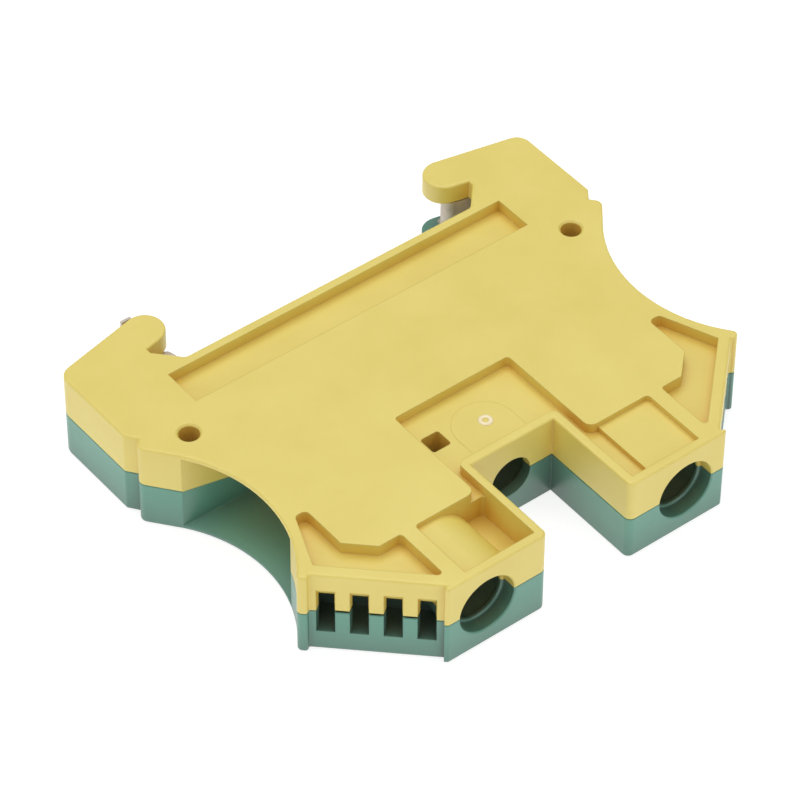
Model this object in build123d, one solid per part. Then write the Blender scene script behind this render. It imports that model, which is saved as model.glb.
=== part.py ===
from build123d import *
import os
from math import cos, radians, sin, sqrt, tan

# An earth terminal block for a 35 mm top-hat rail, lying on its green side.
# X runs along the width of the rail, +Y points at the rail and +Z is the stacking direction.
# In the sizes below Y counts from the front faces of the two screw arms. The finished pieces
# are moved so that the origin lies under the middle of the block.

# Half shells
HALF_WIDTH = 28.0
THICKNESS = 9.7
PARTING_Z = 4.95
AXIS_Z = 4.85
EDGE_RADIUS = 0.25
PARTING_CHAMFER = 0.08

# Screw arms and the notch between them
NOTCH_HALF = 4.9
NOTCH_DEPTH = 11.2
ARM_X = 16.35
ARM_ROUND = 0.7
CORNER_ROUND = 0.35
POST_ROUND = 0.5
POST_WIDTH = 1.03
SHOULDER_ROUND = 0.8

# Slanted marker faces
SLANT_ANGLE = 44.1
FACE_START = 0.4
FACE_SINK = 0.55
FACE_EDGE_ROUND = 0.3
FACE_FOOT_ROUND = 0.22
SLOT_COUNT = 4
SLOT_FIRST = 2.0
SLOT_PITCH = 3.08
SLOT_WIDTH = 1.75
SLOT_Z0 = 2.35
SLOT_Z1 = 7.7
SLOT_WALL = 0.9
SLOT_TAPER = 0.17
SLOT_TOP_DROP = 1.25
SLOT_ROOM_DEPTH = 4.2
COMB_GAP = 0.3
COMB_LIP = 0.12
COMB_SIDE = 0.18
COMB_DROP = 0.9

# Wire entries: a round bay in each side, with a funnel behind it
WAIST_X = 22.5
ARC_Y = 19.55
ARC_R = 15.0
SHOULDER_START_Y = 28.4
SHOULDER_X = 28.0
SHOULDER_Y = 31.7
FUNNEL_RIM = 0.45
FUNNEL_LENGTH = 6.25
FUNNEL_FRONT_Y = 14.1
FUNNEL_BEND_X = 22.7
FUNNEL_BEND_Y = 15.15
FUNNEL_END_X = 16.4
WIRE_HOLE_Z0 = 2.55

# Side groove between the body and the hook block
GROOVE_X = 27.15
GROOVE_Y = 32.7
HOOK_BLOCK_Y = 33.85

# Hooks and the rail seat
RAIL_Y = 38.85
HOOK_ANGLE = 12.3
NOSE_X = 18.1
NOSE_Y = 44.3
NOSE_R = 2.05
HOOK_ROUND = 1.6
MOUTH_X = 19.45
MOUTH_LOW_Y = 41.35
SEAT_END_X = 17.2
YELLOW_HOOK_PLATE = 2.15
GREEN_HOOK_PLATE = 2.15

# Shallow recesses in the yellow face
RAIL_RECESS_HALF = 19.95
RAIL_RECESS_Y0 = 33.4
RAIL_RECESS_Y1 = 37.85
RAIL_RECESS_DEPTH = 1.3
MID_RECESS_HALF = 6.8
MID_RECESS_END_Y = 20.25
MID_RECESS_DEPTH = 1.15
RIM_WALL = 0.9
ARM_RECESS_X = 13.85
ARM_RECESS_Y0 = 0.9
ARM_RECESS_Y1 = 8.2
ARM_RECESS_DEPTH = 0.6
CHANNEL_X = 7.85
LAND_ROUND = 0.9
RECESS_ROUND = 0.4
TUNNEL_WALL = 0.7
DEEP_POCKET_Z = 6.1
SIDE_POCKET_DEPTH = 1.3
SIDE_POCKET_MARGIN = 1.2
SIDE_POCKET_X0 = 15.45
SIDE_POCKET_Y1 = 8.15
SIDE_POCKET_X1 = 20.45
SIDE_POCKET_TOP_Y = 15.8
SIDE_POCKET_NECK = 1.25
SIDE_POCKET_OUT_X = 24.1
PAD_Y = 15.2
PAD_R = 3.2
PAD_HEIGHT = 0.03

# Pegs and latch that hold the half shells together
PEG_X = 22.95
PEG_Y = 30.4
PEG_R = 0.98
PEG_FIT = 0.05
PEG_RIM = 0.2
PEG_SINK = 2.6
LATCH_X = -4.95
LATCH_Y = 16.35
LATCH_SIZE = 1.9
LATCH_FIT = 0.1
LATCH_ROUND = 0.3
LATCH_TOP_Z = 6.0

# Current bar, and the rivets that hold the rail foot to it
BAR_Y0 = 18.0
BAR_THICKNESS = 2.0
BAR_OVERHANG = 0.64
BAR_HALF_HEIGHT = 2.3
BAR_MIDDLE_HALF_LENGTH = 6.4
BAR_MIDDLE_HALF_HEIGHT = 2.75
RIVET_R = 0.75
RIVET_HEAD_R = 1.05
RIVET_HEAD = 0.4

# Clamping yokes
CLAMP_X = 11.83
YOKE_HALF_WIDTH = 3.73
YOKE_HALF_HEIGHT = 3.7
YOKE_SIDE = 1.2
YOKE_HEAD = 3.4
YOKE_FOOT = 1.6
YOKE_GAP = 0.4
WIRE_ROOM = 5.4
YOKE_TRAVEL = 4.2
YOKE_ROUND = 0.8

# Clamp screws and rail screw
TUNNEL_R = 3.15
TUNNEL_RIM = 0.12
CLAMP_HEAD_R = 2.85
CLAMP_HEAD = 3.0
CLAMP_HEAD_GAP = 0.6
SHANK_R = 1.95
THREAD_FIT = 0.05
TIP_GAP = 0.05
SLOT_CUT_WIDTH = 0.9
SLOT_CUT_DEPTH = 1.3
HEAD_ROUND = 0.3
TIP_CHAMFER = 0.3
RAIL_HOLE_R = 2.3
RAIL_HOLE_WALL = 1.1
RAIL_HEAD_R = 2.5
RAIL_HEAD = 2.8
RAIL_SHANK_R = 1.7
RAIL_SHANK_ROOM = 0.15
RAIL_SCREW_END_Y = 34.5

# Rail foot: two bent steel strips, one riveted to the bar and one pulled in by the rail screw
STRIP = 1.5
STRIP_Z0 = 2.5
STRIP_Z1 = 7.3
BEND = 1.3
RISER_X = 20.85
SEAT_WALL = 1.15
LEG_X = 6.55
FIXED_NOSE_DROP = 1.25
FIXED_NOSE_X = 16.55
FIXED_NOSE_ROUNDS = (0.6, 0.1)
SLIDING_NOSE_RISE = 0.15
SLIDING_NOSE_X = 17.3
SLIDING_NOSE_ROUNDS = (0.3, 0.9)
SLIDING_NOSE_CHAMFER = 1.2
SLIDING_TRAVEL = 2.4
SLIDING_WEB_Y = 28.75
SLIDING_WEB_END_X = -3.2
TAB_X = 18.65
TAB_WIDTH = 1.1
TAB_Z0 = 5.6
TAB_Z1 = 9.5
TAB_THICKNESS = 0.3
TAB_GAP = 0.05
LUG_X0 = 18.2
LUG_X1 = 19.35
LUG_THICKNESS = 0.4
LUG_END_Y = 45.2

# Clearances around the metal pieces
SIDE_CLEAR = 0.15
POCKET_CLEAR = 0.2

DEPTH = NOSE_Y + NOSE_R + TAB_GAP + TAB_THICKNESS
HOOK_SPACE_X = NOSE_X - 2 * NOSE_R
FAR = 60.0
ARC_X = WAIST_X + ARC_R
BAR_Y1 = BAR_Y0 + BAR_THICKNESS
BAR_HALF_LENGTH = CLAMP_X + YOKE_HALF_WIDTH + BAR_OVERHANG
RIVET_X = LEG_X - BEND - RIVET_HEAD_R - SIDE_CLEAR
SLANT = radians(SLANT_ANGLE)
HOOK_SLOPE = radians(HOOK_ANGLE)
RAIL_STRIP_Y = RAIL_Y - SEAT_WALL - STRIP / 2
MID_FLOOR_Z = THICKNESS - MID_RECESS_DEPTH
YOKE_HEAD_Y1 = BAR_Y0 - YOKE_GAP
YOKE_HEAD_Y0 = YOKE_HEAD_Y1 - YOKE_HEAD
YOKE_FOOT_Y0 = BAR_Y1 + WIRE_ROOM
YOKE_FOOT_Y1 = YOKE_FOOT_Y0 + YOKE_FOOT
CLAMP_HEAD_Y1 = YOKE_HEAD_Y0 - YOKE_TRAVEL - CLAMP_HEAD_GAP
WIRE_HOLE_Y1 = YOKE_FOOT_Y0 + 0.95
FUNNEL_END_Y0 = BAR_Y1 - 0.1


def block(x0, x1, y0, y1, z0, z1):
    """Box between two corners."""
    return Pos((x0 + x1) / 2, (y0 + y1) / 2, (z0 + z1) / 2) * Box(x1 - x0, y1 - y0, z1 - z0)


def rod_y(x, radius, y0, y1):
    """Round bar along Y at the height of the screws' axes."""
    return Pos(x, (y0 + y1) / 2, AXIS_Z) * Rot(90, 0, 0) * Cylinder(radius, y1 - y0)


def upright(face, z0, z1):
    """Plan face made solid between two heights."""
    return Pos(0, 0, z0) * extrude(face, z1 - z0, dir=(0, 0, 1))


def prism(points, z0, z1):
    """Plan polygon made solid between two heights."""
    return upright(make_face(Polyline(*points, close=True)), z0, z1)


def mirrored(shape):
    """Same shape on the other side of the middle plane."""
    return mirror(shape, about=Plane.YZ)


def rounded(face, point, radius):
    """Face with the corner nearest a plan point rounded."""
    corner = face.vertices().sort_by_distance(Vector(*point))[0]
    return fillet(corner, radius)


def arc_x(y):
    """X of the wire bay's edge at a given Y."""
    return ARC_X - sqrt(ARC_R**2 - (y - ARC_Y) ** 2)


def slant_point(along, inside):
    """Plan point on the right arm, along the slanted face and inside it."""
    return (ARM_X + along * cos(SLANT) - inside * sin(SLANT), along * sin(SLANT) + inside * cos(SLANT))


def hook_line_y(x, side):
    """Y of the hook's outer line (side 1) or of its underside (side -1)."""
    start_x = NOSE_X + side * NOSE_R * sin(HOOK_SLOPE)
    start_y = NOSE_Y + side * NOSE_R * cos(HOOK_SLOPE)
    return start_y - (x - start_x) * tan(HOOK_SLOPE)


def slant_length():
    """Length of the slanted face, up to where it meets the wire bay's arc."""
    reach = ARC_X - ARM_X
    middle = reach * cos(SLANT) + ARC_Y * sin(SLANT)
    return middle - sqrt(middle**2 - reach**2 - ARC_Y**2 + ARC_R**2)


def half_outline():
    """Right half of the plan outline."""
    post_end = slant_point(slant_length(), 0)
    shoulder_start = (arc_x(SHOULDER_START_Y), SHOULDER_START_Y)
    nose_top = (NOSE_X + NOSE_R * sin(HOOK_SLOPE), NOSE_Y + NOSE_R * cos(HOOK_SLOPE))
    nose_under = (NOSE_X - NOSE_R * sin(HOOK_SLOPE), NOSE_Y - NOSE_R * cos(HOOK_SLOPE))
    nose_tip = (NOSE_X - NOSE_R * cos(HOOK_SLOPE), NOSE_Y + NOSE_R * sin(HOOK_SLOPE))
    shoulder = (SHOULDER_X, SHOULDER_Y)
    hook_corner = (HALF_WIDTH, hook_line_y(HALF_WIDTH, 1))
    hook_front = (HALF_WIDTH, HOOK_BLOCK_Y)
    face = make_face([
        Polyline((0, NOTCH_DEPTH), (NOTCH_HALF, NOTCH_DEPTH), (NOTCH_HALF, 0), (ARM_X, 0), post_end),
        ThreePointArc(post_end, (ARC_X - ARC_R, ARC_Y), shoulder_start),
        Polyline(shoulder_start, shoulder, (GROOVE_X, GROOVE_Y), hook_front, hook_corner, nose_top),
        ThreePointArc(nose_top, nose_tip, nose_under),
        Polyline(nose_under, (MOUTH_X, hook_line_y(MOUTH_X, -1)), (MOUTH_X, MOUTH_LOW_Y), (SEAT_END_X, RAIL_Y)),
        Polyline((SEAT_END_X, RAIL_Y), (0, RAIL_Y), (0, NOTCH_DEPTH)),
    ])
    face = rounded(face, (NOTCH_HALF, 0), ARM_ROUND)
    face = rounded(face, (SEAT_END_X, RAIL_Y), ARM_ROUND)
    face = rounded(face, hook_corner, HOOK_ROUND)
    face = rounded(face, shoulder, SHOULDER_ROUND)
    face = rounded(face, post_end, POST_ROUND)
    for point in ((ARM_X, 0), hook_front):
        face = rounded(face, point, CORNER_ROUND)
    face -= sunk_face()
    face_end = slant_length() - POST_WIDTH
    face = rounded(face, slant_point(face_end, 0), FACE_EDGE_ROUND)
    return rounded(face, slant_point(face_end, FACE_SINK), FACE_FOOT_ROUND)


def sunk_face():
    """Right marker face's sunk part in plan, between its two corner posts."""
    face_end = slant_length() - POST_WIDTH
    ends = [(FACE_START, FACE_SINK), (face_end, FACE_SINK), (face_end, -1), (FACE_START, -1)]
    return make_face(Polyline(*[slant_point(*end) for end in ends], close=True))


def outline():
    """Whole plan outline of the block."""
    right = half_outline()
    return right + mirrored(right)


def shell_blank(z0, z1, outer_z):
    """Solid between two heights, its outer face's edges rounded and its parting face's broken."""
    blank = upright(outline(), z0, z1)
    level_faces = blank.faces().filter_by(Plane.XY).sort_by(Axis.Z)
    outer_face, parting_face = level_faces if outer_z == z0 else level_faces[::-1]
    blank = chamfer(parting_face.outer_wire().edges(), PARTING_CHAMFER)
    level_faces = blank.faces().filter_by(Plane.XY).sort_by(Axis.Z)
    outer_face = level_faces[0] if outer_z == z0 else level_faces[-1]
    return fillet(outer_face.outer_wire().edges(), EDGE_RADIUS)


def funnel():
    """Right wire funnel: a cone about the bay's axis, cut to the funnel's plan."""
    slope = (WIRE_HOLE_Z0 - FUNNEL_RIM) / FUNNEL_LENGTH
    inner = ARC_R + FUNNEL_LENGTH + 1
    outer = ARC_R - 2
    low_inner = FUNNEL_RIM + (inner - ARC_R) * slope
    low_outer = FUNNEL_RIM + (outer - ARC_R) * slope
    corners = [
        (outer, low_outer), (inner, low_inner),
        (inner, THICKNESS - low_inner), (outer, THICKNESS - low_outer),
    ]
    profile = Plane.XZ * make_face(Polyline(*corners, close=True))
    cone = Pos(ARC_X, ARC_Y, 0) * revolve(profile, Axis.Z)
    plan = [
        (FUNNEL_END_X, FUNNEL_END_Y0), (FUNNEL_BEND_X, FUNNEL_BEND_Y),
        (arc_x(FUNNEL_FRONT_Y), FUNNEL_FRONT_Y), (FAR, FUNNEL_FRONT_Y), (FAR, SHOULDER_START_Y),
        (arc_x(SHOULDER_START_Y), SHOULDER_START_Y), (FUNNEL_END_X, WIRE_HOLE_Y1),
    ]
    return cone & prism(plan, 0, THICKNESS)


def clamp_room():
    """Right clamp's space: screw tunnel, yoke pocket, wire funnel and the hole between them."""
    x0 = CLAMP_X - YOKE_HALF_WIDTH - SIDE_CLEAR
    x1 = CLAMP_X + YOKE_HALF_WIDTH + POCKET_CLEAR
    half_z = YOKE_HALF_HEIGHT + SIDE_CLEAR
    pocket_y0 = YOKE_HEAD_Y0 - YOKE_TRAVEL - POCKET_CLEAR
    pocket = block(x0, x1, pocket_y0, YOKE_FOOT_Y1 + POCKET_CLEAR, AXIS_Z - half_z, AXIS_Z + half_z)
    tunnel = rod_y(CLAMP_X, TUNNEL_R, -1, pocket_y0 + 1)
    rim = Cone(TUNNEL_R + 2 * TUNNEL_RIM, TUNNEL_R, 2 * TUNNEL_RIM)
    tunnel += Pos(CLAMP_X, 0, AXIS_Z) * Rot(-90, 0, 0) * rim
    hole = block(x1 - 1, FUNNEL_END_X + 0.1, FUNNEL_END_Y0, WIRE_HOLE_Y1, WIRE_HOLE_Z0, THICKNESS - WIRE_HOLE_Z0)
    return [pocket, tunnel, hole, funnel()]


def bar_room():
    """Space of the current bar, the rail screw's head and the rivets."""
    half_z = BAR_HALF_HEIGHT + SIDE_CLEAR
    bar = block(
        -BAR_HALF_LENGTH - SIDE_CLEAR, BAR_HALF_LENGTH + SIDE_CLEAR, BAR_Y0 - SIDE_CLEAR, BAR_Y1 + SIDE_CLEAR,
        AXIS_Z - half_z, AXIS_Z + half_z,
    )
    middle_z = BAR_MIDDLE_HALF_HEIGHT + SIDE_CLEAR
    middle = block(
        -BAR_MIDDLE_HALF_LENGTH - SIDE_CLEAR, BAR_MIDDLE_HALF_LENGTH + SIDE_CLEAR,
        BAR_Y0 - SIDE_CLEAR, BAR_Y1 + SIDE_CLEAR, AXIS_Z - middle_z, AXIS_Z + middle_z,
    )
    head_y0 = NOTCH_DEPTH + RAIL_HOLE_WALL
    head = rod_y(0, RAIL_HEAD_R + POCKET_CLEAR, head_y0, BAR_Y0)
    hole = rod_y(0, RAIL_HOLE_R, NOTCH_DEPTH - 1, head_y0 + 1)
    rivet_y0 = BAR_Y0 - RIVET_HEAD - SIDE_CLEAR
    rivets = [rod_y(x, RIVET_HEAD_R + SIDE_CLEAR, rivet_y0, BAR_Y0) for x in (-RIVET_X, RIVET_X)]
    return [bar, middle, head, hole] + rivets


def slot_room():
    """Right marker face's slots and the room behind them."""
    cuts = []
    middle_z = (SLOT_Z0 + SLOT_Z1) / 2
    for index in range(SLOT_COUNT):
        along = SLOT_FIRST + index * SLOT_PITCH
        face_plane = Plane(
            origin=(*slant_point(along, FACE_SINK), middle_z),
            x_dir=(cos(SLANT), sin(SLANT), 0),
            z_dir=(sin(SLANT), -cos(SLANT), 0),
        )
        outer = face_plane * Rectangle(SLOT_WIDTH, SLOT_Z1 - SLOT_Z0)
        inner_size = (SLOT_WIDTH - 2 * SLOT_TAPER, SLOT_Z1 - SLOT_Z0 - SLOT_TOP_DROP)
        inner = face_plane * (Pos(0, -SLOT_TOP_DROP / 2, -SLOT_WALL) * Rectangle(*inner_size))
        cuts.append(loft([outer, inner]))
    wall = FACE_SINK + SLOT_WALL
    last = SLOT_FIRST + (SLOT_COUNT - 1) * SLOT_PITCH + SLOT_WIDTH / 2
    first = SLOT_FIRST - SLOT_WIDTH / 2
    room_plan = [slant_point(first, wall - 0.05), slant_point(last, wall - 0.05)]
    room_plan += [slant_point(last, SLOT_ROOM_DEPTH), slant_point(first, SLOT_ROOM_DEPTH)]
    room = prism(room_plan, SLOT_Z0, SLOT_Z1)
    cuts.append(room - rod_y(CLAMP_X, TUNNEL_R + TUNNEL_WALL, -1, FAR))
    return cuts


def comb_pockets():
    """Right marker face's pockets in the green posts, behind the gap under the yellow teeth."""
    half = (SLOT_PITCH - SLOT_WIDTH) / 2 - COMB_SIDE
    pockets = []
    for index in range(SLOT_COUNT - 1):
        along = SLOT_FIRST + (index + 0.5) * SLOT_PITCH
        corners = [(-half, COMB_LIP), (half, COMB_LIP), (half, SLOT_WALL), (-half, SLOT_WALL)]
        plan = [slant_point(along + u, FACE_SINK + d) for u, d in corners]
        pockets.append(prism(plan, PARTING_Z - COMB_DROP, PARTING_Z))
    return pockets


def foot_room():
    """Space of the two steel strips of the rail foot."""
    z0 = STRIP_Z0 - SIDE_CLEAR
    z1 = STRIP_Z1 + SIDE_CLEAR
    plates = (GREEN_HOOK_PLATE, THICKNESS - YELLOW_HOOK_PLATE)
    leg_x = LEG_X + STRIP / 2 + SIDE_CLEAR
    strip_out = RAIL_STRIP_Y + STRIP / 2 + SIDE_CLEAR
    strip_in = RAIL_STRIP_Y - STRIP / 2 - SIDE_CLEAR
    riser = (RISER_X - STRIP / 2 - SIDE_CLEAR, RISER_X + STRIP / 2 + SIDE_CLEAR)
    middle = block(-leg_x, leg_x, BAR_Y1, strip_out, z0, z1)
    sliding_low = strip_in - SLIDING_TRAVEL
    cuts = [middle]
    cuts.append(block(0, riser[1], sliding_low, strip_out, z0, z1))
    cuts.append(block(-riser[1], 0, strip_in, strip_out, z0, z1))
    for side, low, under, over in (
        (1, sliding_low, SLIDING_TRAVEL + POCKET_CLEAR - SLIDING_NOSE_RISE, STRIP + SLIDING_NOSE_RISE + POCKET_CLEAR),
        (-1, strip_in, FIXED_NOSE_DROP + POCKET_CLEAR, STRIP - FIXED_NOSE_DROP + POCKET_CLEAR),
    ):
        bottom = [(x, hook_line_y(x, -1) - under) for x in (riser[1], HOOK_SPACE_X)]
        top = [(x, hook_line_y(x, -1) + over) for x in (HOOK_SPACE_X, riser[1])]
        nose = prism(bottom + top, *plates)
        riser_top = (riser[0], hook_line_y(riser[0], -1) + over)
        rise = prism([(riser[0], low), (riser[1], low), top[1], riser_top], z0, z1)
        cuts += [nose, rise] if side > 0 else [mirrored(nose), mirrored(rise)]
        cuts.append(block(*sorted((side * HOOK_SPACE_X, side * MOUTH_X)), MOUTH_LOW_Y, FAR, *plates))
    return cuts


def inner_room():
    """All the spaces inside the block, shared by both half shells."""
    right = clamp_room() + slot_room()
    return right + [mirrored(cut) for cut in right] + bar_room() + foot_room()


def plan_box(x0, x1, y0, y1):
    """Plan rectangle between two corners."""
    return Pos((x0 + x1) / 2, (y0 + y1) / 2) * Rectangle(x1 - x0, y1 - y0)


def recess_plan():
    """Plan of the middle recess with the two arm recesses, round the notch's rim."""
    middle = plan_box(-MID_RECESS_HALF, MID_RECESS_HALF, 0, MID_RECESS_END_Y)
    arms = plan_box(-ARM_RECESS_X, ARM_RECESS_X, ARM_RECESS_Y0, ARM_RECESS_Y1)
    rim_half = NOTCH_HALF + RIM_WALL
    rim_end = NOTCH_DEPTH + RIM_WALL
    rim = plan_box(-rim_half, rim_half, -1, rim_end)
    front = plan_box(-FAR, FAR, -1, ARM_RECESS_Y0)
    for side in (-1, 1):
        rim = rounded(rim, (side * rim_half, rim_end), ARM_ROUND)
    plan = middle + arms - rim - front
    for side in (-1, 1):
        plan = rounded(plan, (side * MID_RECESS_HALF, ARM_RECESS_Y1), LAND_ROUND)
        plan = rounded(plan, (side * MID_RECESS_HALF, MID_RECESS_END_Y), RECESS_ROUND)
        plan = rounded(plan, (side * ARM_RECESS_X, ARM_RECESS_Y1), RECESS_ROUND)
    return plan


def arm_recesses():
    """Stepped recess of the middle and the arms, with the deep pocket beside the left tunnel."""
    plan = recess_plan()
    top = upright(plan, THICKNESS - ARM_RECESS_DEPTH, THICKNESS + 1)
    deeper = plan_box(-CHANNEL_X, CHANNEL_X, 0, FAR) + plan_box(-FAR, FAR, ARM_RECESS_Y1, FAR)
    step = upright(plan & deeper, MID_FLOOR_Z, THICKNESS)
    rim_x = NOTCH_HALF + RIM_WALL
    deep_plan = plan_box(-CLAMP_X, -rim_x, ARM_RECESS_Y0, ARM_RECESS_Y1)
    for y in (ARM_RECESS_Y0, ARM_RECESS_Y1):
        deep_plan = rounded(deep_plan, (-rim_x, y), RECESS_ROUND)
    deep = upright(deep_plan, DEEP_POCKET_Z, THICKNESS - ARM_RECESS_DEPTH)
    deep -= rod_y(-CLAMP_X, THICKNESS - ARM_RECESS_DEPTH - AXIS_Z, 0, ARM_RECESS_Y1 + 1)
    return [top, step, deep]


def side_pocket():
    """Right shallow pocket along the marker face."""
    margin = FACE_SINK + SIDE_POCKET_MARGIN
    foot_along = (SIDE_POCKET_X0 - slant_point(0, margin)[0]) / cos(SLANT)
    out_along = (SIDE_POCKET_OUT_X - slant_point(0, margin)[0]) / cos(SLANT)
    bend_x = SIDE_POCKET_X1 - (SIDE_POCKET_X1 - SIDE_POCKET_X0) / 2
    bend_y = SIDE_POCKET_Y1 + (SIDE_POCKET_X1 - bend_x) * tan(SLANT)
    neck_x = SIDE_POCKET_X1 + SIDE_POCKET_NECK
    points = [
        slant_point(foot_along, margin), (SIDE_POCKET_X0, SIDE_POCKET_Y1), (bend_x, SIDE_POCKET_Y1),
        (SIDE_POCKET_X1, bend_y), (SIDE_POCKET_X1, SIDE_POCKET_TOP_Y), (neck_x, SIDE_POCKET_TOP_Y),
        slant_point(out_along, margin),
    ]
    face = make_face(Polyline(*points, close=True))
    for point in (points[4], points[5]):
        face = rounded(face, point, SIDE_POCKET_NECK * 0.45)
    for point in (points[0], points[1]):
        face = rounded(face, point, CORNER_ROUND)
    return upright(face, THICKNESS - SIDE_POCKET_DEPTH, THICKNESS + 1)


def yellow_half_shell():
    """Upper half shell, with the recesses, the marker slots and the peg holes."""
    shell = shell_blank(PARTING_Z, THICKNESS, THICKNESS)
    shell -= arm_recesses()
    shell -= [side_pocket(), mirrored(side_pocket())]
    rail_recess = plan_box(-RAIL_RECESS_HALF, RAIL_RECESS_HALF, RAIL_RECESS_Y0, RAIL_RECESS_Y1)
    shell -= upright(rail_recess, THICKNESS - RAIL_RECESS_DEPTH, THICKNESS + 1)
    shell -= inner_room()
    for side in (-1, 1):
        hole_r = PEG_R + PEG_FIT
        shell -= Pos(side * PEG_X, PEG_Y, THICKNESS / 2) * Cylinder(hole_r, THICKNESS)
        shell -= Pos(side * PEG_X, PEG_Y, THICKNESS) * Cone(hole_r, hole_r + 2 * PEG_RIM, 2 * PEG_RIM)
    window = RectangleRounded(LATCH_SIZE + 2 * LATCH_FIT, LATCH_SIZE + 2 * LATCH_FIT, LATCH_ROUND)
    shell -= upright(Pos(LATCH_X, LATCH_Y) * window, 0, THICKNESS)
    comb_end = SLOT_FIRST + (SLOT_COUNT - 1) * SLOT_PITCH
    comb = [slant_point(u, d) for u, d in ((SLOT_FIRST, 0), (comb_end, 0), (comb_end, 2), (SLOT_FIRST, 2))]
    gap = prism(comb, PARTING_Z, PARTING_Z + COMB_GAP)
    shell -= [gap, mirrored(gap)]
    return shell + screw_pad()


def screw_pad():
    """Faint raised pad in the middle recess, over the rail screw's head."""
    rim_end = NOTCH_DEPTH + RIM_WALL
    pad = plan_box(-PAD_R, PAD_R, rim_end - PAD_HEIGHT, PAD_Y) + Pos(0, PAD_Y) * Circle(PAD_R)
    return upright(pad, MID_FLOOR_Z - PAD_HEIGHT, MID_FLOOR_Z + PAD_HEIGHT)


def green_half_shell():
    """Lower half shell, with its pegs and latch post."""
    shell = shell_blank(0, PARTING_Z, 0)
    shell -= inner_room()
    shell -= comb_pockets() + [mirrored(pocket) for pocket in comb_pockets()]
    for side in (-1, 1):
        height = THICKNESS - PEG_SINK - PARTING_Z
        shell += Pos(side * PEG_X, PEG_Y, PARTING_Z + height / 2) * Cylinder(PEG_R, height)
    post = RectangleRounded(LATCH_SIZE, LATCH_SIZE, LATCH_ROUND)
    return shell + upright(Pos(LATCH_X, LATCH_Y) * post, PARTING_Z, LATCH_TOP_Z)


def current_bar():
    """Tinned copper bar between the two clamps, with holes for the rail screw and the rivets."""
    bar = block(
        -BAR_HALF_LENGTH, BAR_HALF_LENGTH, BAR_Y0, BAR_Y1, AXIS_Z - BAR_HALF_HEIGHT, AXIS_Z + BAR_HALF_HEIGHT
    )
    bar += block(
        -BAR_MIDDLE_HALF_LENGTH, BAR_MIDDLE_HALF_LENGTH, BAR_Y0, BAR_Y1,
        AXIS_Z - BAR_MIDDLE_HALF_HEIGHT, AXIS_Z + BAR_MIDDLE_HALF_HEIGHT,
    )
    bar -= rod_y(0, RAIL_SHANK_R + RAIL_SHANK_ROOM, BAR_Y0 - 1, BAR_Y1 + 1)
    for side in (-1, 1):
        bar -= rod_y(side * RIVET_X, RIVET_R, BAR_Y0 - 1, BAR_Y1 + 1)
    return bar


def bar_rivets():
    """Two rivets through the bar and the fixed foot's web."""
    rivets = []
    web_end = BAR_Y1 + STRIP
    for side in (-1, 1):
        rivet = rod_y(side * RIVET_X, RIVET_R, BAR_Y0, web_end)
        rivet += rod_y(side * RIVET_X, RIVET_HEAD_R, BAR_Y0 - RIVET_HEAD, BAR_Y0)
        rivet += rod_y(side * RIVET_X, RIVET_HEAD_R, web_end, web_end + RIVET_HEAD)
        rivets.append(rivet)
    return Compound(children=[part.solid() for part in rivets])


def clamping_yoke():
    """Right steel yoke: a rectangular cage round the bar and the wire, threaded in its head."""
    x0 = CLAMP_X - YOKE_HALF_WIDTH
    x1 = CLAMP_X + YOKE_HALF_WIDTH
    yoke = block(x0, x1, YOKE_HEAD_Y0, YOKE_FOOT_Y1, AXIS_Z - YOKE_HALF_HEIGHT, AXIS_Z + YOKE_HALF_HEIGHT)
    yoke = fillet(yoke.edges().filter_by(Axis.X), YOKE_ROUND)
    inner = YOKE_HALF_HEIGHT - YOKE_SIDE
    window = block(x0 - 1, x1 + 1, YOKE_HEAD_Y1, YOKE_FOOT_Y0, AXIS_Z - inner, AXIS_Z + inner)
    yoke -= fillet(window.edges().filter_by(Axis.X), YOKE_ROUND / 2)
    return yoke - rod_y(CLAMP_X, SHANK_R + THREAD_FIT, YOKE_HEAD_Y0 - 1, YOKE_HEAD_Y1 + 1)


def slotted_screw(x, head_r, head_y0, head, shank_r, end_y):
    """Slotted cheese-head screw along Y."""
    cap = rod_y(x, head_r, head_y0, head_y0 + head)
    cap = fillet(cap.edges().filter_by(GeomType.CIRCLE).sort_by(Axis.Y)[0], HEAD_ROUND)
    cut = SLOT_CUT_WIDTH / 2
    slot_end = head_y0 + SLOT_CUT_DEPTH
    cap -= block(x - head_r - 1, x + head_r + 1, head_y0 - 1, slot_end, AXIS_Z - cut, AXIS_Z + cut)
    shank = rod_y(x, shank_r, head_y0 + head, end_y)
    shank = chamfer(shank.edges().filter_by(GeomType.CIRCLE).sort_by(Axis.Y)[-1], TIP_CHAMFER)
    return cap + shank


def clamp_screw():
    """Right clamp screw, its tip at the current bar."""
    return slotted_screw(CLAMP_X, CLAMP_HEAD_R, CLAMP_HEAD_Y1 - CLAMP_HEAD, CLAMP_HEAD, SHANK_R, BAR_Y0 - TIP_GAP)


def rail_screw():
    """Middle screw that pulls the sliding foot towards the rail seat."""
    return slotted_screw(0, RAIL_HEAD_R, BAR_Y0 - RAIL_HEAD, RAIL_HEAD, RAIL_SHANK_R, RAIL_SCREW_END_Y)


def bent_strip(points, nose_rounds):
    """Steel strip on edge, bent along a plan path, with its nose's outer and inner corners rounded."""
    face = trace(FilletPolyline(*points, radius=BEND), STRIP)
    nose_x, nose_y = points[0]
    for side, nose_round in zip((1, -1), nose_rounds):
        face = rounded(face, (nose_x, nose_y + side * STRIP / 2), nose_round)
    return upright(face, STRIP_Z0, STRIP_Z1)


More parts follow.
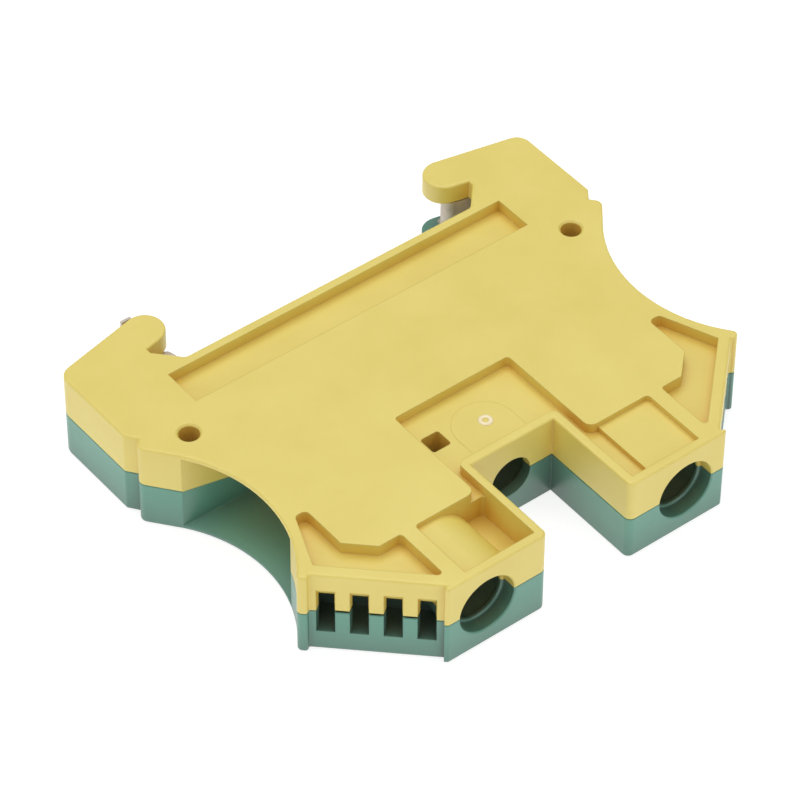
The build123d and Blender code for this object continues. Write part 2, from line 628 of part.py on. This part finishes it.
def fixed_rail_foot():
    """Left strip: hook, riser, leg and the web that is riveted to the bar, with a tab over the hook."""
    shift = STRIP / 2 - FIXED_NOSE_DROP
    web_y = BAR_Y1 + STRIP / 2
    right = bent_strip([
        (FIXED_NOSE_X, hook_line_y(FIXED_NOSE_X, -1) + shift), (RISER_X, hook_line_y(RISER_X, -1) + shift),
        (RISER_X, RAIL_STRIP_Y), (LEG_X, RAIL_STRIP_Y), (LEG_X, web_y), (-RIVET_X - RIVET_HEAD_R, web_y),
    ], FIXED_NOSE_ROUNDS)
    foot = mirrored(right)
    foot -= rod_y(0, RAIL_SHANK_R + RAIL_SHANK_ROOM, BAR_Y1 - 1, BAR_Y1 + STRIP + 1)
    for side in (-1, 1):
        foot -= rod_y(side * RIVET_X, RIVET_R, BAR_Y1 - 1, BAR_Y1 + STRIP + 1)
    tab_y = DEPTH - TAB_THICKNESS
    strip_y = hook_line_y(TAB_X, -1) + shift
    x0 = -TAB_X - TAB_WIDTH / 2
    x1 = -TAB_X + TAB_WIDTH / 2
    foot += block(x0, x1, strip_y, DEPTH, TAB_Z0, STRIP_Z1)
    return foot + block(x0, x1, tab_y, DEPTH, TAB_Z0, TAB_Z1)


def sliding_rail_foot():
    """Right strip: hook, riser, leg and the web that the rail screw turns in."""
    shift = STRIP / 2 + SLIDING_NOSE_RISE
    nose_y = hook_line_y(SLIDING_NOSE_X, -1) + shift
    foot = bent_strip([
        (SLIDING_NOSE_X, nose_y), (RISER_X, hook_line_y(RISER_X, -1) + shift),
        (RISER_X, RAIL_STRIP_Y), (LEG_X, RAIL_STRIP_Y), (LEG_X, SLIDING_WEB_Y), (SLIDING_WEB_END_X, SLIDING_WEB_Y),
    ], SLIDING_NOSE_ROUNDS)
    foot -= Pos(SLIDING_NOSE_X, nose_y, STRIP_Z0) * Rot(0, 45, 0) * Box(
        SLIDING_NOSE_CHAMFER * sqrt(2), 3 * STRIP, SLIDING_NOSE_CHAMFER * sqrt(2)
    )
    foot += block(LUG_X0, LUG_X1, hook_line_y(LUG_X1, -1) + shift, LUG_END_Y, STRIP_Z0, STRIP_Z0 + LUG_THICKNESS)
    return foot - rod_y(0, RAIL_SHANK_R + THREAD_FIT, SLIDING_WEB_Y - STRIP, SLIDING_WEB_Y + STRIP)


def pieces():
    """All sub-parts by name, with Y counted from the arm fronts."""
    yoke = clamping_yoke()
    screw = clamp_screw()
    return {
        "yellow_half_shell": yellow_half_shell(),
        "green_half_shell": green_half_shell(),
        "current_bar": current_bar(),
        "bar_rivets": bar_rivets(),
        "fixed_rail_foot": fixed_rail_foot(),
        "sliding_rail_foot": sliding_rail_foot(),
        "rail_screw": rail_screw(),
        "left_clamping_yoke": mirrored(yoke),
        "right_clamping_yoke": yoke,
        "left_clamp_screw": mirrored(screw),
        "right_clamp_screw": screw,
    }


def main():
    os.makedirs("parts", exist_ok=True)
    for name, shape in pieces().items():
        export_step(Pos(0, -DEPTH / 2, 0) * shape, f"parts/{name}.step")


main()
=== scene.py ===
from math import cos, radians, sin

import bmesh
import bpy
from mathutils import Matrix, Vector


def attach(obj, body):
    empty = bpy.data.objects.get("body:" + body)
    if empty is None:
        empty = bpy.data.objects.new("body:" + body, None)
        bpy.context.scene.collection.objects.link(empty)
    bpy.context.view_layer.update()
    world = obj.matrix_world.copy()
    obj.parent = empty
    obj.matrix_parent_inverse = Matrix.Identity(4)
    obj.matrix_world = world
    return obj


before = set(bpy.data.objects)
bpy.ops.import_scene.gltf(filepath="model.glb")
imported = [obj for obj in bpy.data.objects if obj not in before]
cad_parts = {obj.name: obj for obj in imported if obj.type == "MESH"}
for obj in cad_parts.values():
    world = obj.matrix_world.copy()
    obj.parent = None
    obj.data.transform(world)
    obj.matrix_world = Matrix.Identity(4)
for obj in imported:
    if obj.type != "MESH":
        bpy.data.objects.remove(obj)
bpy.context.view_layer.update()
scene = bpy.context.scene

# One millimetre in the scene's metres
MM = 0.001

# Places in the CAD model, in mm: the arms' front ends and the clamp screws' axes
ARM_FRONT_Y = -23.35
CLAMP_X = 11.83
AXIS_Z = 4.85

# Lip in a screw tunnel, in mm: radii from the tunnel's axis and depths from the arm's front end.
# Its outer radius lies just inside the tunnel's wall.
LIP_OUTER_R = 3.2
LIP_INNER_R = 2.80
LIP_FRONT = 1.5
LIP_BACK = 2.1
LIP_ROUND = 0.16
# Angle in degrees at which the shells' parting plane, a little above the axis, cuts the lip
LIP_PARTING = 1.9

# Gate mark in mm: its middle on the recess's floor, and its section as (radius, height)
GATE_MIDDLE = (0.47, 15.7 + ARM_FRONT_Y, 8.58)
GATE_SECTION = [
    (0.27, -0.02), (0.29, 0.05), (0.38, 0.10), (0.55, 0.11), (0.68, 0.07), (0.76, -0.02),
]

# Share of open sky at which painted shade starts to darken the colour in a recess, and at which
# it darkens it fully
CAVITY_OPEN = 0.80
CAVITY_CLOSED = 0.22

# Floor in metres: half its side, and its height, just clear of the block's green side
FLOOR_HALF = 3.0
FLOOR_Z = -0.02 * MM

WHITE = (1.0, 1.0, 1.0)


def new_material(name):
    """New node material, with its node tree and its principled shader."""
    material = bpy.data.materials.new(name)
    material.use_nodes = True
    return material, material.node_tree, material.node_tree.nodes["Principled BSDF"]


def add(tree, kind, **values):
    """Node with some of its settings and sockets filled in."""
    node = tree.nodes.new(kind)
    for key, value in values.items():
        if hasattr(node, key):
            setattr(node, key, value)
        else:
            node.inputs[key.replace("_", " ")].default_value = value
    return node


def noise(tree, scale, detail=3.0, roughness=0.55):
    """Noise in the object's own coordinates, its scale in features per metre."""
    coords = add(tree, "ShaderNodeTexCoord")
    node = add(tree, "ShaderNodeTexNoise", Scale=scale, Detail=detail, Roughness=roughness)
    tree.links.new(coords.outputs["Object"], node.inputs["Vector"])
    return node.outputs["Fac"]


def blend(tree, value, dark, base, light):
    """Colour that goes from dark through base to light as a value rises past its middle."""
    node = add(tree, "ShaderNodeValToRGB")
    elements = node.color_ramp.elements
    for index, (place, colour) in enumerate([(0.3, dark), (0.7, light), (0.5, base)]):
        element = elements[index] if index < 2 else elements.new(place)
        element.position = place
        element.color = (*colour, 1.0)
    tree.links.new(value, node.inputs["Fac"])
    return node.outputs["Color"]


def map_range(tree, value, first, last, start=0.0, end=1.0):
    """Value taken from the range start..end to the range first..last, held at both ends."""
    limits = {"From_Min": start, "From_Max": end, "To_Min": first, "To_Max": last}
    node = add(tree, "ShaderNodeMapRange", **limits)
    tree.links.new(value, node.inputs["Value"])
    return node.outputs["Result"]


def bumps(tree, shader, layers, edge):
    """Stack of bump layers (value, height in metres) over edges softened to a radius."""
    bevel = add(tree, "ShaderNodeBevel", samples=6, Radius=edge)
    normal = bevel.outputs["Normal"]
    for value, height in layers:
        bump = add(tree, "ShaderNodeBump", Strength=1.0, Distance=height)
        tree.links.new(value, bump.inputs["Height"])
        tree.links.new(normal, bump.inputs["Normal"])
        normal = bump.outputs["Normal"]
    tree.links.new(normal, shader.inputs["Normal"])


def socket(sockets, identifier):
    """Socket with a given identifier, where several share a name."""
    return next(item for item in sockets if item.identifier == identifier)


def paint_recess_shade(tree, colour, tint, reach):
    """Colour multiplied by a darker tint as painted shade where the surface lies in a recess,
    out of reach of open sky.
    """
    cavity = add(tree, "ShaderNodeAmbientOcclusion", samples=8, Distance=reach)
    shade_amount = map_range(tree, cavity.outputs["AO"], 1.0, 0.0, CAVITY_CLOSED, CAVITY_OPEN)
    mix = add(tree, "ShaderNodeMix", data_type="RGBA", blend_type="MULTIPLY")
    tree.links.new(shade_amount, socket(mix.inputs, "Factor_Float"))
    tree.links.new(colour, socket(mix.inputs, "A_Color"))
    socket(mix.inputs, "B_Color").default_value = (*tint, 1.0)
    return socket(mix.outputs, "Result_Color")


def plastic(name, dark, base, light, shade_tint, reach, roughness):
    """Moulded polyamide: faint flow marks, fine spark-eroded grain, softened edges and painted
    shade darkening the colour in recesses.
    """
    material, tree, shader = new_material(name)
    flow = noise(tree, 140, detail=4.0)
    # Painted shade: the colour darkens and browns in recesses, by how little open sky reaches
    # the surface
    colour = paint_recess_shade(tree, blend(tree, flow, dark, base, light), shade_tint, reach)
    tree.links.new(colour, shader.inputs["Base Color"])
    patches = noise(tree, 900, detail=2.0)
    gloss = map_range(tree, patches, roughness - 0.05, roughness + 0.06)
    tree.links.new(gloss, shader.inputs["Roughness"])
    shader.inputs["IOR"].default_value = 1.5
    shader.inputs["Specular IOR Level"].default_value = 0.9
    shader.inputs["Subsurface Weight"].default_value = 0.04
    shader.inputs["Subsurface Radius"].default_value = (0.6 * MM, 0.4 * MM, 0.15 * MM)
    grain = noise(tree, 7000, detail=2.0)
    warp = noise(tree, 260, detail=1.0)
    bumps(tree, shader, [(warp, 0.012 * MM), (grain, 0.005 * MM)], edge=0.14 * MM)
    return material


def metal(name, dark, base, light, roughness, streak, metallic=1.0):
    """Rolled and plated metal: fine streaks, patchy gloss and softened edges."""
    material, tree, shader = new_material(name)
    shader.inputs["Metallic"].default_value = metallic
    coords = add(tree, "ShaderNodeTexCoord")
    mapping = add(tree, "ShaderNodeMapping", Scale=streak)
    tree.links.new(coords.outputs["Object"], mapping.inputs["Vector"])
    lines = add(tree, "ShaderNodeTexNoise", Scale=1.0, Detail=3.0)
    tree.links.new(mapping.outputs["Vector"], lines.inputs["Vector"])
    cloud = noise(tree, 600, detail=4.0)
    tree.links.new(blend(tree, cloud, dark, base, light), shader.inputs["Base Color"])
    gloss = map_range(tree, cloud, roughness - 0.07, roughness + 0.1)
    tree.links.new(gloss, shader.inputs["Roughness"])
    bumps(tree, shader, [(lines.outputs["Fac"], 0.006 * MM)], edge=0.08 * MM)
    return material


YELLOW = plastic(
    "yellow_moulding",
    # The tint below is painted shade for recesses
    dark=(0.744, 0.603, 0.124), base=(0.767, 0.628, 0.138), light=(0.787, 0.651, 0.152),
    shade_tint=(0.97, 0.75, 0.54), reach=3.0 * MM, roughness=0.40,
)
GREEN = plastic(
    "green_moulding",
    dark=(0.089, 0.294, 0.211), base=(0.098, 0.312, 0.226), light=(0.107, 0.330, 0.241),
    shade_tint=(0.68, 0.36, 0.42), reach=8.0 * MM, roughness=0.34,
)
TIN = metal(
    "tinned_copper",
    dark=(0.52, 0.50, 0.46), base=(0.62, 0.60, 0.56), light=(0.68, 0.66, 0.62),
    roughness=0.34, streak=(300, 9000, 9000),
)
ZINC = metal(
    "zinc_plate",
    dark=(0.45, 0.44, 0.42), base=(0.55, 0.54, 0.51), light=(0.62, 0.61, 0.58),
    roughness=0.30, streak=(9000, 400, 9000),
)
STRIP = metal(
    "foot_strip",
    dark=(0.52, 0.46, 0.40), base=(0.62, 0.56, 0.49), light=(0.70, 0.64, 0.57),
    roughness=0.50, streak=(500, 500, 12000), metallic=0.35,
)
# Pale stress-whitened plastic, its whiteness partly a painted highlight standing in for the
# glint on the gate mark's rim
GATE = plastic(
    "whitened_gate_and_highlight",
    dark=(0.86, 0.74, 0.42), base=(0.93, 0.81, 0.52), light=(0.98, 0.88, 0.62),
    shade_tint=(0.8, 0.7, 0.5), reach=0.4 * MM, roughness=0.45,
)

FINISH = {
    "yellow_half_shell": YELLOW,
    "green_half_shell": GREEN,
    "current_bar": TIN,
    "bar_rivets": ZINC,
    "fixed_rail_foot": STRIP,
    "sliding_rail_foot": STRIP,
    "left_clamping_yoke": ZINC,
    "right_clamping_yoke": ZINC,
    "left_clamp_screw": ZINC,
    "right_clamp_screw": ZINC,
    "rail_screw": ZINC,
}


def dress_nodes():
    """Put each CAD node's material on all of its faces."""
    for node, material in FINISH.items():
        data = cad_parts[node].data
        data.materials.clear()
        data.materials.append(material)
        for polygon in data.polygons:
            polygon.material_index = 0


def swept_ring(name, profile, centre, axis, turn, material, steps=72):
    """Ring swept about a Y or Z axis, on the housing.

    The profile is a list of (radius, place along the axis) in mm, and the turn is its start and
    end in degrees.
    """
    start, end = turn
    whole = end - start == 360
    work = bmesh.new()
    rows = []
    for step in range(steps if whole else steps + 1):
        angle = radians(start + (end - start) * step / steps)
        row = []
        for radius, along in profile:
            x, other = radius * cos(angle), radius * sin(angle)
            local = (x, along, other) if axis == "Y" else (x, other, along)
            row.append(work.verts.new([(a + b) * MM for a, b in zip(centre, local)]))
        rows.append(row)
    count = len(profile)
    for index in range(steps):
        here, there = rows[index], rows[(index + 1) % len(rows)]
        for side in range(count):
            after = (side + 1) % count
            work.faces.new((here[side], here[after], there[after], there[side]))
    if not whole:
        work.faces.new(rows[0])
        work.faces.new(rows[-1])
    bmesh.ops.recalc_face_normals(work, faces=work.faces)
    mesh = bpy.data.meshes.new(name)
    work.to_mesh(mesh)
    work.free()
    for polygon in mesh.polygons:
        polygon.use_smooth = True
    mesh.set_sharp_from_angle(angle=radians(40))
    mesh.materials.append(material)
    ring = bpy.data.objects.new(name, mesh)
    scene.collection.objects.link(ring)
    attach(ring, "housing")
    return ring


def add_tunnel_lips():
    """Lip inside the mouth of each screw tunnel, half of it in each shell."""
    profile = [
        (LIP_OUTER_R, LIP_FRONT),
        (LIP_INNER_R + LIP_ROUND, LIP_FRONT),
        (LIP_INNER_R, LIP_FRONT + LIP_ROUND),
        (LIP_INNER_R, LIP_BACK - LIP_ROUND),
        (LIP_INNER_R + LIP_ROUND, LIP_BACK),
        (LIP_OUTER_R, LIP_BACK),
    ]
    above = (LIP_PARTING, 180 - LIP_PARTING)
    below = (180 - LIP_PARTING, 360 + LIP_PARTING)
    for side, x in (("left", -CLAMP_X), ("right", CLAMP_X)):
        centre = (x, ARM_FRONT_Y, AXIS_Z)
        upper = swept_ring(f"{side}_tunnel_lip_upper", profile, centre, "Y", above, YELLOW)
        lower = swept_ring(f"{side}_tunnel_lip_lower", profile, centre, "Y", below, GREEN)


def add_gate_mark():
    """Ring that the moulding gate left on the middle recess's floor, in pale stress-whitened
    plastic whose whiteness is partly a painted highlight.
    """
    mark = swept_ring("gate_mark", GATE_SECTION, GATE_MIDDLE, "Z", (0, 360), GATE, steps=48)


def add_floor():
    """Plain pale floor under the block, which glows a little so that it stays near white."""
    material, tree, shader = new_material("pale_floor")
    shader.inputs["Base Color"].default_value = (0.42, 0.42, 0.42, 1.0)
    shader.inputs["Roughness"].default_value = 0.9
    shader.inputs["Emission Color"].default_value = (*WHITE, 1.0)
    shader.inputs["Emission Strength"].default_value = 0.76
    mesh = bpy.data.meshes.new("floor")
    signs = ((-1, -1), (1, -1), (1, 1), (-1, 1))
    corners = [(x * FLOOR_HALF, y * FLOOR_HALF, 0) for x, y in signs]
    mesh.from_pydata(corners, [], [(0, 1, 2, 3)])
    mesh.materials.append(material)
    floor = bpy.data.objects.new("floor", mesh)
    floor.location.z = FLOOR_Z
    scene.collection.objects.link(floor)


def add_light(name, place, size, power, colour=WHITE):
    """Square soft light at a place in metres, aimed at the middle of the block."""
    data = bpy.data.lights.new(name, "AREA")
    data.size = size
    data.energy = power
    data.color = colour
    light = bpy.data.objects.new(name, data)
    light.location = place
    aim = Vector((0, 0, 0.005)) - Vector(place)
    light.rotation_euler = aim.to_track_quat("-Z", "Y").to_euler()
    scene.collection.objects.link(light)


def add_lights():
    """Soft studio: a big light overhead, one from the left and one from the front right."""
    world = bpy.data.worlds.new("studio")
    world.use_nodes = True
    background = world.node_tree.nodes["Background"]
    background.inputs["Color"].default_value = (*WHITE, 1.0)
    background.inputs["Strength"].default_value = 0.38
    scene.world = world
    add_light("overhead", (0.02, 0.08, 0.6), size=0.7, power=2.70)
    add_light("left", (-0.6, 0.05, 0.3), size=0.5, power=0.58, colour=(1.0, 0.95, 0.96))
    add_light("front", (0.15, -0.6, 0.25), size=0.5, power=0.59, colour=(1.0, 0.96, 0.96))


def add_camera():
    """Camera at the photograph's angle."""
    data = bpy.data.cameras.new("camera")
    data.lens = 194.875
    data.sensor_width = 36.0
    data.clip_start = 0.01
    camera = bpy.data.objects.new("camera", data)
    camera.location = (-183.526 * MM, -227.934 * MM, 292.426 * MM)
    camera.rotation_euler = (radians(45.568), radians(-0.235), radians(-38.046))
    scene.collection.objects.link(camera)
    scene.camera = camera


add_camera()
add_lights()
add_floor()
dress_nodes()
add_tunnel_lips()
add_gate_mark()
scene.view_settings.view_transform = "Standard"
